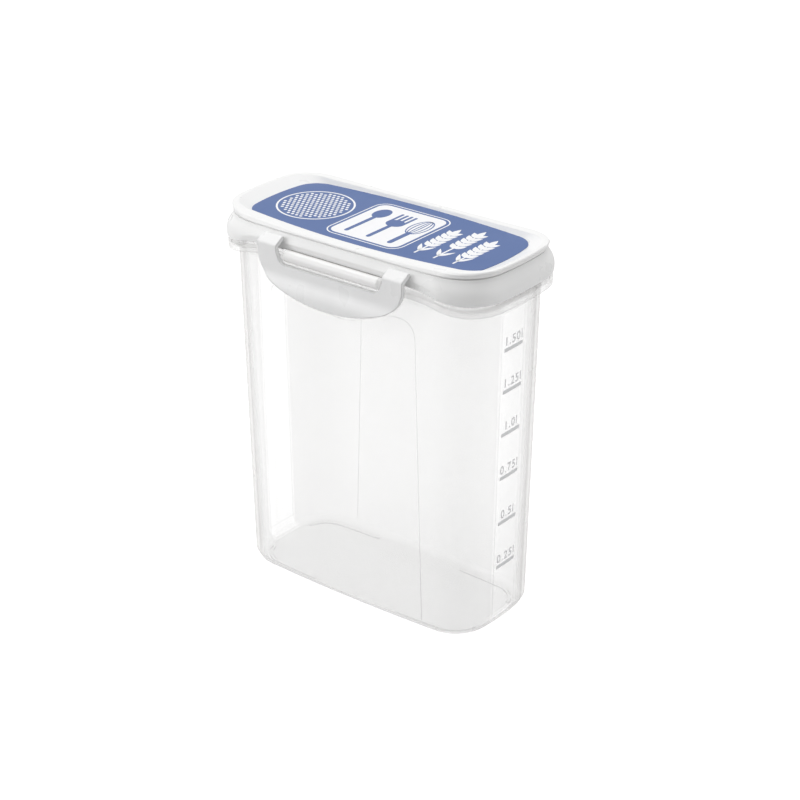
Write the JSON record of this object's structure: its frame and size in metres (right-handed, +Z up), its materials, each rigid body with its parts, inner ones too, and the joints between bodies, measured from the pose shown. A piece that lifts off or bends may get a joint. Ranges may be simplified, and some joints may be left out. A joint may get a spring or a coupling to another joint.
{
  "type": "shaker container",
  "caption": "Tall translucent keeper for dry food with a shallow clip lid, a latch on each long side, arched window panels and a measuring window at each end.",
  "frame": {"origin": "middle of the footprint, on the surface that the container stands on", "axes": "+X along the long side, -Y towards the front latch, +Z up"},
  "size_m": [0.169, 0.098, 0.202],
  "materials": {
    "clear_body": "translucent polypropylene",
    "white_lid": "satin polypropylene",
    "white_latch": "satin polypropylene",
    "seal": "translucent silicone",
    "print_film": "printed film in the mould"
  },
  "bodies": {
    "container": {"container_body": "clear_body"},
    "lid": {"lid": "white_lid", "seal_ring": "seal", "lid_label": "print_film"},
    "front_latch": {"front_latch": "white_latch"},
    "rear_latch": {"rear_latch": "white_latch"}
  },
  "joints": [
    {"name": "front_latch_hinge", "type": "hinge", "parent": "lid", "child": "front_latch", "pos_m": [0, -0.04054, 0.1962], "axis": [-1, 0, 0], "range_deg": [0, 110]},
    {"name": "rear_latch_hinge", "type": "hinge", "parent": "lid", "child": "rear_latch", "pos_m": [0, 0.04054, 0.1962], "axis": [1, 0, 0], "range_deg": [0, 110]},
    {"name": "lid_lift", "type": "slide", "parent": "container", "child": "lid", "axis": [0, 0, 1], "range_m": [0, 0.0195]}
  ],
  "couplings": [
    {"joint": "front_latch_hinge", "follows": "lid_lift", "rad_per_m": 98.4},
    {"joint": "rear_latch_hinge", "follows": "lid_lift", "rad_per_m": 98.4}
  ]
}
